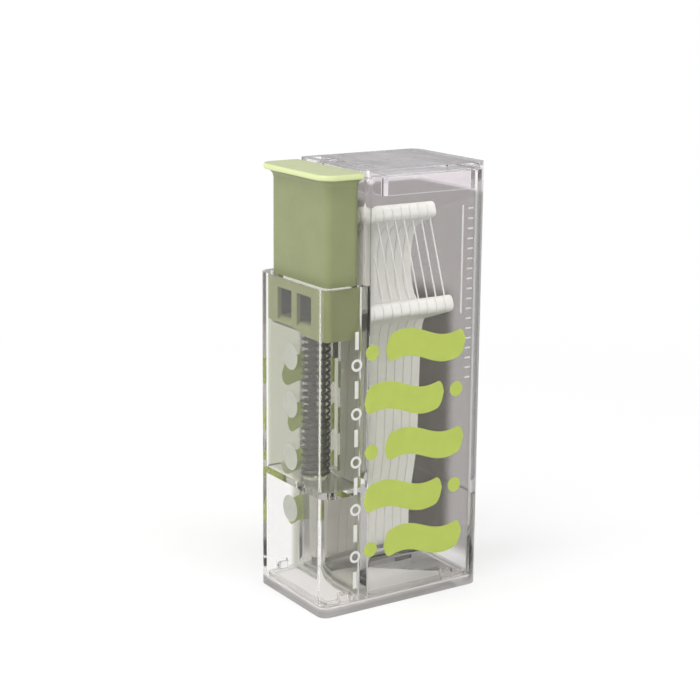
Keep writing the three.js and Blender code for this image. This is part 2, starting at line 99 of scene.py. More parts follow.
# Places taken from the frame. The part stands over the origin, so its right face and its back
# are at the left face and the front with the sign changed.
LEFT_FACE = cad_box[0].x
FRONT_FACE = cad_box[0].y
RIGHT_FACE = -LEFT_FACE
BACK_FACE = -FRONT_FACE
lid_low, lid_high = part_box("top_lid")
button_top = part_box("press_button")[1].z
slider_low, slider_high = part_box("slider_block")
spring_low, spring_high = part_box("return_spring")
PICKS = sorted(name for name in nodes if name.startswith("floss_pick_"))
THREADS = sorted(name for name in nodes if name.startswith("floss_thread_"))

# Camera at the photograph's viewing angle
CAMERA_PLACE = (-177.76 * MM, -264.04 * MM, 125.74 * MM)
CAMERA_AZIMUTH = math.radians(-33.2)
CAMERA_ELEVATION = math.radians(12.56)
CAMERA_ROLL = math.radians(0.49)
CAMERA_LENS = 86.46
CAMERA_SHIFT = (0, -0.05)
SENSOR_WIDTH = 36
CLIP_START = 0.01
CLIP_END = 20

# Lamps: name, azimuth and elevation in degrees, distance, width and height in metres, and
# power in watts
LAMPS = (
    ("key", -84, 42, 0.9, 0.7, 0.9, 4.6),
    ("fill", 25, 35, 1.1, 0.8, 0.8, 2.1),
    ("top", -30, 80, 1.0, 0.9, 0.9, 3.2),
)
LAMP_TARGET = (0, 0, 45 * MM)
ROOM_LIGHT = 0.58

# Floor, which fades to white away from the object
FLOOR_RADIUS = 6
FLOOR_SIDES = 64
FLOOR_GAP = 0.02 * MM
FLOOR_COLOUR = (0.9, 0.9, 0.9, 1)
FLOOR_ROUGHNESS = 0.9
FLOOR_GLOSS = 0.1
FLOOR_NEAR = 60 * MM
FLOOR_FAR = 260 * MM

# Edges of the mouldings
CLEAR_EDGE = 0.22 * MM
GREEN_EDGE = 0.3 * MM
FINE_EDGE = 0.12 * MM
PICK_EDGE = 0.05 * MM
EDGE_SEGMENTS = 2
EDGE_ANGLE = math.radians(28)
FLAT_ANGLE = math.radians(1)
WELD_DISTANCE = 0.001 * MM
FACE_WEIGHT = 100

# Return spring. At each end the solid one is a little shorter than the room that it has. A
# closed turn rises by the wire's width times CLOSED_PITCH.
SPRING_WIRE = 0.56 * MM
SPRING_TURNS = 22
CLOSED_TURNS = 1
CLOSED_PITCH = 1.04
SPRING_STEPS = 28
WIRE_SIDES = 12
SPRING_END_ROOM = 0.3 * MM
SEAT_GAP = 0.02 * MM

# Floss
THREAD_WIDTH = 0.28 * MM
THREAD_SIDES = 8
THREAD_STEPS = 24

# Print: how deep it lies in the wall, and how finely its curves are drawn
PRINT_DEPTH = 0.05 * MM
PRINT_THICKNESS = 0.02 * MM
DISC_STEPS = 48
BAND_STEPS = 40

# Print: places and sizes in millimetres across and up the wall. Where there are two, the marks
# take them in turn.
BAND_HALF = 2.7
BAND_SWING = 1.1
BAND_PITCH = 9.7
CAP_FULLNESS = 4
FRONT_BAND_FIRST = 12
FRONT_BAND_COUNT = 5
FRONT_BAND_ENDS = ((13.8, 32.4), (9.1, 27.5))
SPOT_PLACES = (10.8, 30.4)
SPOT_RADIUS = 1.5
BACK_BAND_FIRST = 13
BACK_BAND_COUNT = 4
BACK_BAND_ENDS = ((7, 22.5), (5.6, 27))
MARK_FIRST = 6.5
MARK_PITCH = 4.7
MARK_COUNT = 11
RING_PLACE = 7.3
RING_RADIUS = 1.2
RING_HOLE = 0.7
BAR_SIDES = (6.9, 7.7)
BAR_HALF = 1.7
LINE_SIDES = (30.95, 31.3)
LINE_ENDS = (56, 77)
TICK_SIDES = (32.3, 33.6)
TICK_FIRST = 43
TICK_PITCH = 1.95
TICK_COUNT = 18
TICK_HEIGHT = 0.3
LEFT_DISC_PLACE = 11.8
LEFT_DISC_HEIGHTS = (49, 39.6, 29.2, 18.8)
LEFT_DISC_RADIUS = 2.62

# Clear plastic: places where its tint and its painted shade change
WALL_WIDTH = 1.5 * MM
BAY_END = LEFT_FACE + 9.6 * MM
SHELF_HEIGHT = 22.5 * MM
LOW_TOP = 7 * MM
LOW_BLEND = 3 * MM
# The zone of deep painted shade on the right end wall, beside the picks and below their lower arms
SHADE_TOP = 60 * MM
SHADE_TOP_BLEND = 5 * MM
SHADE_FRONT = FRONT_FACE + 8 * MM
SHADE_FRONT_BLEND = 4 * MM
BASE_TOP = 2 * MM
BASE_BLEND = 0.2 * MM
BLEND = MM

# Clear plastic: tints. The dark ones are painted shade, darkening the walls behind the picks, in
# the bay and at the right end
FRONT_TINT = (0.96, 0.95, 0.95, 1)
BAY_FRONT_TINT = (0.99, 0.99, 0.94, 1)
# Painted shade on the bay's walls behind its front
BAY_PAINTED_SHADE = (0.48, 0.49, 0.4, 1)
# Painted shade on the chamber's back wall, behind the picks
BACK_PAINTED_SHADE = (0.38, 0.36, 0.355, 1)
# Lighter painted shade near the chamber's floor
LOW_PAINTED_SHADE = (0.8, 0.79, 0.78, 1)
# Deep painted shade
SHADE_TINT = (0.07, 0.062, 0.05, 1)
# Below the shelf the bay stays clear of the painted shade
FOOT_TINT = (0.98, 0.97, 0.96, 1)
# Painted shade on the right end wall
END_PAINTED_SHADE = (0.28, 0.28, 0.265, 1)
HEAD_TINT = (0.97, 0.95, 0.96, 1)
# Painted shade on the base cover, at the bottom
BASE_PAINTED_SHADE = (0.4, 0.39, 0.38, 1)
TRAPPED_TINT = (0.78, 0.77, 0.77, 1)
# Light caught in the base cover leaves it darker: painted shade
BASE_TRAPPED_SHADE = (0.42, 0.41, 0.4, 1)
SHADOW_TINT = (1, 1, 1, 1)
TRAPPED_AFTER = 2.5
SCATTERED_AFTER = 0.5

# Clear plastic: surface, haze and the painted highlight on the lid's edges. A range is its least
# and its most.
CLEAR_INDEX = 1.5
CLEAR_SHINE = (0.4, 0.4, 0.36, 1)
CLEAR_ROUGHNESS = (0, 0.05)
CLEAR_CLOUDS = 900
FLOW_WAVES = 160
FLOW_STRETCH = (1, 1, 0.35)
FLOW_STRENGTH = 0.15
HAZE = (0.01, 0.03)
HAZE_CLOUDS = 700
HAZE_COLOUR = (0.5, 0.49, 0.5, 1)
TOP_HAZE = (0.52, 0.8)
TOP_SCUFFS = 260
TOP_STRETCH = (1, 0.25, 1)
TOP_HAZE_COLOUR = (0.37, 0.36, 0.37, 1)
TOP_GLOW = 0.45
TOP_START = lid_high.z - 0.2 * MM
TOP_END = lid_high.z - 0.05 * MM
# A painted highlight on the lid's rounded edges
EDGE_HIGHLIGHT = 0.75
EDGE_HIGHLIGHT_COLOUR = (0.95, 0.93, 0.95, 1)
EDGE_START = lid_low.z + 3.2 * MM
EDGE_BLEND = 0.1 * MM
SQUARE_FROM = 0.98
SLANT_FROM = 0.8
BASE_HAZE = 0.16
FLOOR_HAZE = 0.6
FLOOR_HAZE_COLOUR = (0.77, 0.75, 0.73, 1)
UPWARD_FROM = 0.5
SHARE_MARGIN = 0.01

# Solid plastic
GRAIN_DEPTH = 0.02 * MM
GRAIN_STRENGTH = 0.12
GRAIN = 6000
GRAIN_ROUGHNESS = 0.6
WEAR = 1500
COLOUR_CLOUDS = 220
GREEN_ROUGHNESS = (0.36, 0.5)
WHITE_ROUGHNESS = (0.28, 0.42)
GREEN_SCATTER = 0.05
WHITE_SCATTER = 0.3
SCATTER_RADIUS = (1, 1, 1)
SCATTER_SCALE = 0.8 * MM
# The flange's rim, where a highlight is painted
RIM_LEVEL = 0.5
RIM_ON_TOP = 0.3
RIM_START = button_top - 1.25 * MM
RIM_BLEND = 0.3 * MM
SLIDER_SKIN = 1.1 * MM
GREEN = srgb(140, 147, 104), srgb(134, 141, 98)
# Painted highlight on the button's flange rim
RIM_HIGHLIGHT_GREEN = srgb(214, 223, 166)
# A darker copy of the green for the slider inside the case: painted shade
PAINTED_SHADE_GREEN = srgb(126, 131, 83), srgb(121, 126, 78)
# Painted shade in the slider's hollow
HOLLOW_SHADE_GREEN = srgb(58, 62, 34)
WHITE = srgb(246, 245, 239), srgb(242, 241, 235)

# Wire, fibre and ink
WIRE_COLOURS = srgb(38, 38, 32), srgb(64, 63, 52)
WIRE_MARKS = 5000
WIRE_STRETCH = (1, 1, 6)
WIRE_WEAR = 3000
WIRE_ROUGHNESS = (0.22, 0.42)
FIBRE_COLOURS = srgb(246, 246, 243), srgb(255, 255, 253)
FIBRES = 9000
FIBRE_STRETCH = (1, 1, 0.15)
FIBRE_ROUGHNESS = 0.6
FIBRE_STRENGTH = 0.4
FIBRE_DEPTH = 0.03 * MM
LIME = srgb(201, 217, 100), srgb(196, 212, 94)
CHALK = srgb(240, 240, 236), srgb(230, 230, 226)
GREY_CHALK = srgb(188, 190, 180), srgb(180, 182, 172)
INK_CLOUDS = 500
INK_GRAIN = 4000
INK_ROUGHNESS = (0.45, 0.6)

# Noise keeps near its middle; this is the part of its range that is spread out
NOISE_RANGE = (0.3, 0.7)
WHOLE = (0, 1)


# Shader nodes

def new_material(name):
    material = bpy.data.materials.new(name)
    material.use_nodes = True
    tree = material.node_tree
    tree.nodes.clear()
    output = tree.nodes.new("ShaderNodeOutputMaterial")
    shader = tree.nodes.new("ShaderNodeBsdfPrincipled")
    tree.links.new(shader.outputs["BSDF"], output.inputs["Surface"])
    return material, tree, shader, output


def light_path(tree):
    return tree.nodes.new("ShaderNodeLightPath").outputs


def object_place(tree):
    return tree.nodes.new("ShaderNodeTexCoord").outputs["Object"]


def parts_of(tree, vector):
    """The X, Y and Z of a vector."""
    split = tree.nodes.new("ShaderNodeSeparateXYZ")
    tree.links.new(vector, split.inputs["Vector"])
    return split.outputs


def face_normal(tree):
    return parts_of(tree, tree.nodes.new("ShaderNodeNewGeometry").outputs["Normal"])


def remap(tree, source, old, new, smooth=False):
    """Maps one range to another and stops at its ends."""
    ramp = tree.nodes.new("ShaderNodeMapRange")
    if smooth:
        ramp.interpolation_type = "SMOOTHSTEP"
    ramp.inputs["From Min"].default_value, ramp.inputs["From Max"].default_value = old
    ramp.inputs["To Min"].default_value, ramp.inputs["To Max"].default_value = new
    tree.links.new(source, ramp.inputs["Value"])
    return ramp.outputs["Result"]


def noise(tree, scale, detail=2, roughness=0.5, stretch=(1, 1, 1)):
    """Noise in the model's own coordinates; scale is in features to the metre."""
    mapping = tree.nodes.new("ShaderNodeMapping")
    mapping.inputs["Scale"].default_value = stretch
    texture = tree.nodes.new("ShaderNodeTexNoise")
    texture.inputs["Scale"].default_value = scale
    texture.inputs["Detail"].default_value = detail
    texture.inputs["Roughness"].default_value = roughness
    tree.links.new(object_place(tree), mapping.inputs["Vector"])
    tree.links.new(mapping.outputs["Vector"], texture.inputs["Vector"])
    return texture.outputs["Fac"]


def spread(tree, source, new):
    return remap(tree, source, NOISE_RANGE, new)


def along_axis(tree, axis, start, end):
    """0 before the start and 1 past the end along an axis of the model, with a smooth change."""
    place = parts_of(tree, object_place(tree))[axis]
    rises = start < end
    return remap(tree, place, (min(start, end), max(start, end)), (0, 1) if rises else (1, 0), True)


def calculate(tree, operation, first, second):
    """One sum on two values; each is a socket or a number."""
    node = tree.nodes.new("ShaderNodeMath")
    node.operation = operation
    for socket, value in zip(node.inputs, (first, second)):
        if isinstance(value, (int, float)):
            socket.default_value = value
        else:
            tree.links.new(value, socket)
    return node.outputs[0]


def lay_over(tree, below, mask, colour):
    """Lays a colour over the one below it where the mask is 1."""
    mix = tree.nodes.new("ShaderNodeMix")
    mix.data_type = "RGBA"
    mix.inputs["B"].default_value = colour
    tree.links.new(mask, mix.inputs["Factor"])
    if isinstance(below, tuple):
        mix.inputs["A"].default_value = below
    else:
        tree.links.new(below, mix.inputs["A"])
    return mix.outputs["Result"]


def mix_shaders(tree, share, first, second):
    mix = tree.nodes.new("ShaderNodeMixShader")
    tree.links.new(share, mix.inputs["Fac"])
    tree.links.new(first, mix.inputs[1])
    tree.links.new(second, mix.inputs[2])
    return mix.outputs[0]


def coloured(tree, kind, colour):
    """A plain shader of that kind in a colour that comes from a socket."""
    shader = tree.nodes.new(kind)
    tree.links.new(colour, shader.inputs["Color"])
    return shader.outputs[0]


def bump(tree, shader, source, strength, distance):
    node = tree.nodes.new("ShaderNodeBump")
    node.inputs["Strength"].default_value = strength
    node.inputs["Distance"].default_value = distance
    tree.links.new(source, node.inputs["Height"])
    tree.links.new(node.outputs["Normal"], shader.inputs["Normal"])


# Clear plastic

def tint_and_painted_shade(tree):
    """Painted shade: walls towards the light are clearer than those behind the picks, in the bay
    and at the end.
    """
    def both(first, second):
        return calculate(tree, "MULTIPLY", first, second)

    behind = along_axis(tree, "Y", FRONT_FACE + WALL_WIDTH, FRONT_FACE + 2 * WALL_WIDTH)
    inside = along_axis(tree, "X", LEFT_FACE + WALL_WIDTH, LEFT_FACE + 2 * WALL_WIDTH)
    chamber = along_axis(tree, "X", BAY_END, BAY_END + BLEND)
    at_end = along_axis(tree, "X", RIGHT_FACE - 2 * WALL_WIDTH, RIGHT_FACE - WALL_WIDTH)
    near_floor = along_axis(tree, "Z", LOW_TOP, LOW_TOP - LOW_BLEND)
    bay = along_axis(tree, "X", BAY_END - BLEND, BAY_END - 2 * BLEND)
    below_shelf = along_axis(tree, "Z", SHELF_HEIGHT + BLEND, SHELF_HEIGHT)
    shade = both(at_end, along_axis(tree, "Z", SHADE_TOP, SHADE_TOP - SHADE_TOP_BLEND))
    shade = both(shade, along_axis(tree, "Z", LOW_TOP - LOW_BLEND, LOW_TOP))
    shade = both(shade, along_axis(tree, "Y", SHADE_FRONT, SHADE_FRONT + SHADE_FRONT_BLEND))
    scattered = calculate(tree, "GREATER_THAN", light_path(tree)["Diffuse Depth"], SCATTERED_AFTER)
    tint = lay_over(tree, BAY_FRONT_TINT, chamber, FRONT_TINT)
    # Painted shade laid over the tint, region by region
    for mask, colour in (
        (both(behind, inside), BAY_PAINTED_SHADE),
        (both(behind, chamber), BACK_PAINTED_SHADE),
        (both(chamber, near_floor), LOW_PAINTED_SHADE),
        (shade, SHADE_TINT),
        (both(bay, below_shelf), FOOT_TINT),
        (calculate(tree, "SUBTRACT", at_end, behind), END_PAINTED_SHADE),
        (along_axis(tree, "Z", lid_low.z - BLEND, lid_low.z), HEAD_TINT),
        (along_axis(tree, "Z", BASE_TOP, BASE_TOP - BLEND), BASE_PAINTED_SHADE),
        (scattered, FRONT_TINT),
    ):
        tint = lay_over(tree, tint, mask, colour)
    return tint


def lid_edge_highlights(tree):
    """Painted highlight on the lid's rounded edges: faces there that are square to no axis get a
    bright haze.
    """
    normal = face_normal(tree)
    squarest = 0
    for axis in "XYZ":
        share = calculate(tree, "ABSOLUTE", normal[axis], 0)
        squarest = calculate(tree, "MAXIMUM", squarest, share)
    slant = remap(tree, squarest, (SQUARE_FROM, SLANT_FROM), (0, EDGE_HIGHLIGHT))
    high = along_axis(tree, "Z", EDGE_START, EDGE_START + EDGE_BLEND)
    return calculate(tree, "MULTIPLY", high, slant)


def base_cover_mask(tree):
    return along_axis(tree, "Z", BASE_TOP + BASE_BLEND, BASE_TOP)


def base_haze(tree):
    """The base cover is milkier than the case, most of all on top of its floor."""
    upward = calculate(tree, "GREATER_THAN", face_normal(tree)["Z"], UPWARD_FROM)
    more = calculate(tree, "MULTIPLY", upward, FLOOR_HAZE - BASE_HAZE)
    share = calculate(tree, "ADD", BASE_HAZE, more)
    return calculate(tree, "MULTIPLY", base_cover_mask(tree), share)


def haze_and_edge_highlights(tree, clear_body):
    """A thin haze over the clear body, milky on the lid and the base's floor, with a painted
    highlight on the lid's edges.
    """
    top = along_axis(tree, "Z", TOP_START, TOP_END)
    base = base_haze(tree)
    edges = lid_edge_highlights(tree)
    on_floor = calculate(tree, "GREATER_THAN", base, BASE_HAZE + SHARE_MARGIN)
    on_highlights = calculate(tree, "GREATER_THAN", edges, EDGE_HIGHLIGHT / 2)
    colour = lay_over(tree, HAZE_COLOUR, top, TOP_HAZE_COLOUR)
    colour = lay_over(tree, colour, on_floor, FLOOR_HAZE_COLOUR)
    colour = lay_over(tree, colour, on_highlights, EDGE_HIGHLIGHT_COLOUR)
    milk = mix_shaders(tree, calculate(tree, "MULTIPLY", top, TOP_GLOW),
                       coloured(tree, "ShaderNodeBsdfDiffuse", colour),
                       coloured(tree, "ShaderNodeBsdfTranslucent", colour))
    scuffs = spread(tree, noise(tree, TOP_SCUFFS, detail=5, stretch=TOP_STRETCH), TOP_HAZE)
    share = spread(tree, noise(tree, HAZE_CLOUDS, detail=4), HAZE)
    for part in (calculate(tree, "MULTIPLY", top, scuffs), edges, base):
        share = calculate(tree, "MAXIMUM", share, part)
    return mix_shaders(tree, share, clear_body, milk)


def clear_plastic(name):
    """Clear plastic with faint flow waves, a thin haze, painted shade in its tint and a painted
    highlight on the lid's edges.

    The lamps reach the inside through it. Light that is caught inside a wall after a few
    reflections leaves it with a tint, where it would otherwise end in black.
    """
    material, tree, shader, output = new_material(name)
    tree.links.new(tint_and_painted_shade(tree), shader.inputs["Base Color"])
    shader.inputs["Transmission Weight"].default_value = 1
    shader.inputs["IOR"].default_value = CLEAR_INDEX
    shader.inputs["Specular Tint"].default_value = CLEAR_SHINE
    finish = spread(tree, noise(tree, CLEAR_CLOUDS), CLEAR_ROUGHNESS)
    tree.links.new(finish, shader.inputs["Roughness"])
    bump(tree, shader, noise(tree, FLOW_WAVES, stretch=FLOW_STRETCH), FLOW_STRENGTH, GRAIN_DEPTH)
    path = light_path(tree)
    trapped = calculate(tree, "GREATER_THAN", path["Glossy Depth"], TRAPPED_AFTER)
    passing = calculate(tree, "MAXIMUM", path["Is Shadow Ray"], trapped)
    # In the base cover the caught light leaves with painted shade
    leaving = lay_over(tree, TRAPPED_TINT, base_cover_mask(tree), BASE_TRAPPED_SHADE)
    leaving = lay_over(tree, leaving, path["Is Shadow Ray"], SHADOW_TINT)
    mixed = mix_shaders(tree, passing, haze_and_edge_highlights(tree, shader.outputs["BSDF"]),
                        coloured(tree, "ShaderNodeBsdfTransparent", leaving))
    tree.links.new(mixed, output.inputs["Surface"])
    return material


# Solid materials

def rim_highlight_mask(tree):
    """Painted highlight: 1 on the flange's rim and less on its flat top."""
    level = calculate(tree, "ABSOLUTE", face_normal(tree)["Z"], 0)
    upright = remap(tree, level, (RIM_LEVEL, 1), (1, RIM_ON_TOP))
    high = along_axis(tree, "Z", RIM_START, RIM_START + RIM_BLEND)
    return calculate(tree, "MULTIPLY", high, upright)


def hollow_shade_mask(tree):
    """Painted shade: 1 on the walls of the slider's hollow, where little light comes."""
    inside = 1
    for axis, start, step in (
        ("X", slider_low.x, SLIDER_SKIN),
        ("Y", slider_low.y, SLIDER_SKIN),
        ("Y", slider_high.y, -SLIDER_SKIN),
        ("Z", slider_low.z, SLIDER_SKIN),
    ):
        past = along_axis(tree, axis, start + step / 2, start + step)
        inside = calculate(tree, "MULTIPLY", inside, past)
    return inside


def moulded_plastic(name, colours, roughness, scatter, mask=None, painted_light=None):
    """Solid plastic with a fine moulded grain; painted light lies where the mask is 1: a highlight
    or a shade.
    """
    material, tree, shader, _ = new_material(name)
    cloud = spread(tree, noise(tree, COLOUR_CLOUDS, detail=3), WHOLE)
    body = lay_over(tree, colours[0], cloud, colours[1])
    if mask:
        body = lay_over(tree, body, mask(tree), painted_light)
    tree.links.new(body, shader.inputs["Base Color"])
    finish = spread(tree, noise(tree, WEAR, detail=4), roughness)
    tree.links.new(finish, shader.inputs["Roughness"])
    grain = noise(tree, GRAIN, detail=4, roughness=GRAIN_ROUGHNESS)
    bump(tree, shader, grain, GRAIN_STRENGTH, GRAIN_DEPTH)
    shader.inputs["Subsurface Weight"].default_value = scatter
    shader.inputs["Subsurface Radius"].default_value = SCATTER_RADIUS
    shader.inputs["Subsurface Scale"].default_value = SCATTER_SCALE
    return material


def spring_wire():
    """Dark drawn wire with fine marks along it."""
    material, tree, shader, _ = new_material("spring_wire")
    marks = spread(tree, noise(tree, WIRE_MARKS, detail=3, stretch=WIRE_STRETCH), WHOLE)
    colour = lay_over(tree, WIRE_COLOURS[0], marks, WIRE_COLOURS[1])
    finish = spread(tree, noise(tree, WIRE_WEAR, detail=3), WIRE_ROUGHNESS)
    tree.links.new(colour, shader.inputs["Base Color"])
    tree.links.new(finish, shader.inputs["Roughness"])
    shader.inputs["Metallic"].default_value = 1
    return material


def floss_fibre():
    """Twisted white fibre."""
    material, tree, shader, _ = new_material("floss_fibre")
    twist = spread(tree, noise(tree, FIBRES, stretch=FIBRE_STRETCH), WHOLE)
    colour = lay_over(tree, FIBRE_COLOURS[0], twist, FIBRE_COLOURS[1])
    tree.links.new(colour, shader.inputs["Base Color"])
    shader.inputs["Roughness"].default_value = FIBRE_ROUGHNESS
    bump(tree, shader, twist, FIBRE_STRENGTH, FIBRE_DEPTH)
    return material


def ink(name, colours):
    """Screen-printed ink, a little uneven."""
    material, tree, shader, _ = new_material(name)
    cloud = spread(tree, noise(tree, INK_CLOUDS, detail=3), WHOLE)
    colour = lay_over(tree, colours[0], cloud, colours[1])
    finish = spread(tree, noise(tree, INK_GRAIN), INK_ROUGHNESS)
    tree.links.new(colour, shader.inputs["Base Color"])
    tree.links.new(finish, shader.inputs["Roughness"])
    return material


clear = clear_plastic("clear_polystyrene")
green = moulded_plastic("sage_green_plastic", GREEN, GREEN_ROUGHNESS, GREEN_SCATTER,
                        rim_highlight_mask, RIM_HIGHLIGHT_GREEN)
white = moulded_plastic("warm_white_plastic", WHITE, WHITE_ROUGHNESS, WHITE_SCATTER)
# The slider's green, darkened: painted shade
painted_shade_green = moulded_plastic("sage_green_painted_shade", PAINTED_SHADE_GREEN, GREEN_ROUGHNESS, GREEN_SCATTER,
                              hollow_shade_mask, HOLLOW_SHADE_GREEN)
steel = spring_wire()
fibre = floss_fibre()
lime = ink("lime_ink", LIME)
chalk = ink("white_ink", CHALK)
grey_chalk = ink("grey_white_ink", GREY_CHALK)


# Dressing the model's own pieces

def dress(name, material, edge):
    """Gives a node its material and softens its moulded edges."""
    piece = nodes[name]
    for index in range(len(piece.material_slots)):
        piece.material_slots[index].material = material
    weld = piece.modifiers.new("weld", "WELD")
    weld.merge_threshold = WELD_DISTANCE
    flat = piece.modifiers.new("flat", "DECIMATE")
    flat.decimate_type = "DISSOLVE"
    flat.angle_limit = FLAT_ANGLE
    soften = piece.modifiers.new("soften", "BEVEL")
    soften.width = edge
    soften.segments = EDGE_SEGMENTS
    soften.limit_method = "ANGLE"
    soften.angle_limit = EDGE_ANGLE
    soften.use_clamp_overlap = True
    even = piece.modifiers.new("even", "WEIGHTED_NORMAL")
    even.weight = FACE_WEIGHT
    piece.data.shade_smooth()


for name in ("outer_case", "top_lid", "base_cover"):
    dress(name, clear, CLEAR_EDGE)
dress("press_button", green, GREEN_EDGE)
dress("slider_block", painted_shade_green, GREEN_EDGE)
dress("lift_pawl", white, FINE_EDGE)
for name in PICKS:
    dress(name, white, PICK_EDGE)


# Making pieces

def new_piece(name, bm, material, body):
    mesh = bpy.data.meshes.new(name)
    bmesh.ops.recalc_face_normals(bm, faces=bm.faces)
    bm.to_mesh(mesh)
    bm.free()
    mesh.materials.append(material)
    piece = bpy.data.objects.new(name, mesh)
    bpy.context.scene.collection.objects.link(piece)
    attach(piece, body)
    return piece


def tube(bm, points, radius, sides):
    """A closed tube along a line of points, without twist."""
    rings = []
    normal = None
    for index, point in enumerate(points):
        before = points[max(index - 1, 0)]
        after = points[min(index + 1, len(points) - 1)]
        along = (after - before).normalized()
        if normal is None:
            normal = along.orthogonal().normalized()
        normal = (normal - along * normal.dot(along)).normalized()
        across = along.cross(normal)
        ring = []
        for side in range(sides):
            angle = 2 * math.pi * side / sides
            spoke = math.cos(angle) * normal + math.sin(angle) * across
            ring.append(bm.verts.new(point + radius * spoke))
        rings.append(ring)
    for first, second in zip(rings, rings[1:]):
        for side in range(sides):
            after = (side + 1) % sides
            face = bm.faces.new((first[side], first[after], second[after], second[side]))
            face.smooth = True
    bm.faces.new(reversed(rings[0]))
    bm.faces.new(rings[-1])


# Return spring, with closed turns at both ends

spring_foot = spring_low.z - SPRING_END_ROOM
spring_head = spring_high.z + SPRING_END_ROOM


def spring_height(turn, low, high):
    """Height of the wire's middle after so many turns."""
    free_turns = SPRING_TURNS - 2 * CLOSED_TURNS
    closed_rise = SPRING_WIRE * CLOSED_PITCH
    pitch = (high - low - 2 * CLOSED_TURNS * closed_rise) / free_turns
    if turn <= CLOSED_TURNS:
        return low + turn * closed_rise
    if turn <= CLOSED_TURNS + free_turns:
        return low + CLOSED_TURNS * closed_rise + (turn - CLOSED_TURNS) * pitch
    return high - (SPRING_TURNS - turn) * closed_rise


def make_spring():
    middle = (spring_low + spring_high) / 2
    radius = (spring_high.y - spring_low.y - SPRING_WIRE) / 2
    low = spring_foot + SPRING_WIRE / 2 + SEAT_GAP
    high = spring_head - SPRING_WIRE / 2 - SEAT_GAP
    points = []
    for step in range(SPRING_TURNS * SPRING_STEPS + 1):
        turn = step / SPRING_STEPS
        angle = 2 * math.pi * turn
        points.append(Vector((
            middle.x + radius * math.cos(angle),
            middle.y + radius * math.sin(angle),
            spring_height(turn, low, high),
        )))
    bm = bmesh.new()
    tube(bm, points, SPRING_WIRE / 2, WIRE_SIDES)
    spring = new_piece("coil_spring", bm, steel, "case")
    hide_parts("return_spring")
    return spring


spring = make_spring()


# Floss strands, which run into the arms of their picks

def make_strand(name):
    low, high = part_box(name)
    half = (high.x - low.x) / 2
    foot = Vector((low.x + half, low.y + half, low.z))
    head = Vector((low.x + half, high.y - half, high.z))
    points = [foot.lerp(head, step / THREAD_STEPS) for step in range(THREAD_STEPS + 1)]
    bm = bmesh.new()
    tube(bm, points, THREAD_WIDTH / 2, THREAD_SIDES)
    strand = new_piece(name.replace("thread", "strand"), bm, fibre, nodes[name]["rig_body"])
    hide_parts(name)


for name in THREADS:
    make_strand(name)


# Printed marks, a little below the outer surface of a wall. A mark is drawn in the wall's own
# two directions: across from the wall's left or back end as the part stands, and up.

def front_point(across, up, depth):
    return Vector((LEFT_FACE + across * MM, FRONT_FACE + depth, up * MM))


def left_point(across, up, depth):
    return Vector((LEFT_FACE + depth, BACK_FACE - across * MM, up * MM))


def back_point(across, up, depth):
    return Vector((LEFT_FACE + across * MM, BACK_FACE - depth, up * MM))


def add_strip(bm, place, first, second):
    """A thin strip between two lines that have as many points."""
    layers = []
    for depth in (PRINT_DEPTH, PRINT_DEPTH + PRINT_THICKNESS):
        layers.append([[bm.verts.new(place(*point, depth)) for point in line]
                       for line in (first, second)])
    (outer_first, outer_second), (inner_first, inner_second) = layers
    for index in range(len(first) - 1):
        after = index + 1
        for corners in (
            (outer_first[index], outer_first[after], outer_second[after], outer_second[index]),
            (inner_first[index], inner_second[index], inner_second[after], inner_first[after]),
            (outer_first[index], inner_first[index], inner_first[after], outer_first[after]),
            (outer_second[index], outer_second[after], inner_second[after], inner_second[index]),
        ):
            bm.faces.new(corners)
    for index in (0, -1):
        bm.faces.new((outer_first[index], outer_second[index],
                      inner_second[index], inner_first[index]))


def add_bar(bm, place, sides, low, high):
    first, second = ([(across, low), (across, high)] for across in sides)
    add_strip(bm, place, first, second)


def add_disc(bm, place, across, up, radius, hole=0.0):
    first, second = [], []
    for step in range(DISC_STEPS + 1):
        angle = 2 * math.pi * step / DISC_STEPS
        direction = (math.cos(angle), math.sin(angle))
        first.append((across + radius * direction[0], up + radius * direction[1]))
        second.append((across + hole * direction[0], up + hole * direction[1]))
    add_strip(bm, place, first, second)


def add_band(bm, place, left, right, middle):
    """A broad band with round ends that waves once along its length."""
    upper, lower = [], []
    for step in range(BAND_STEPS + 1):
        share = step / BAND_STEPS
        across = left + (right - left) * share
        sway = BAND_SWING * math.sin(2 * math.pi * share)
        cap = min(1, CAP_FULLNESS * math.sqrt(share * (1 - share)))
        upper.append((across, middle + sway + BAND_HALF * cap))
        lower.append((across, middle + sway - BAND_HALF * cap))
    add_strip(bm, place, upper, lower)


def make_front_bands():
    bm = bmesh.new()
    for index in range(FRONT_BAND_COUNT):
        up = FRONT_BAND_FIRST + index * BAND_PITCH
        add_band(bm, front_point, *FRONT_BAND_ENDS[index % 2], up)
        add_disc(bm, front_point, SPOT_PLACES[index % 2], up, SPOT_RADIUS)
    new_piece("front_bands", bm, lime, "case")


def make_back_bands():
    bm = bmesh.new()
    for index in range(BACK_BAND_COUNT):
        add_band(bm, back_point, *BACK_BAND_ENDS[index % 2], BACK_BAND_FIRST + index * BAND_PITCH)
    new_piece("back_bands", bm, lime, "case")


def make_front_marks():
    """Bars and rings in turn up the bay's edge, and a line with ticks at the right."""
    bm = bmesh.new()
    for index in range(MARK_COUNT):
        up = MARK_FIRST + index * MARK_PITCH
        if index % 2:
            add_disc(bm, front_point, RING_PLACE, up, RING_RADIUS, RING_HOLE)
        else:
            add_bar(bm, front_point, BAR_SIDES, up - BAR_HALF, up + BAR_HALF)
    add_bar(bm, front_point, LINE_SIDES, *LINE_ENDS)
    for index in range(TICK_COUNT):
        up = TICK_FIRST + index * TICK_PITCH
        add_bar(bm, front_point, TICK_SIDES, up, up + TICK_HEIGHT)
    new_piece("front_marks", bm, chalk, "case")


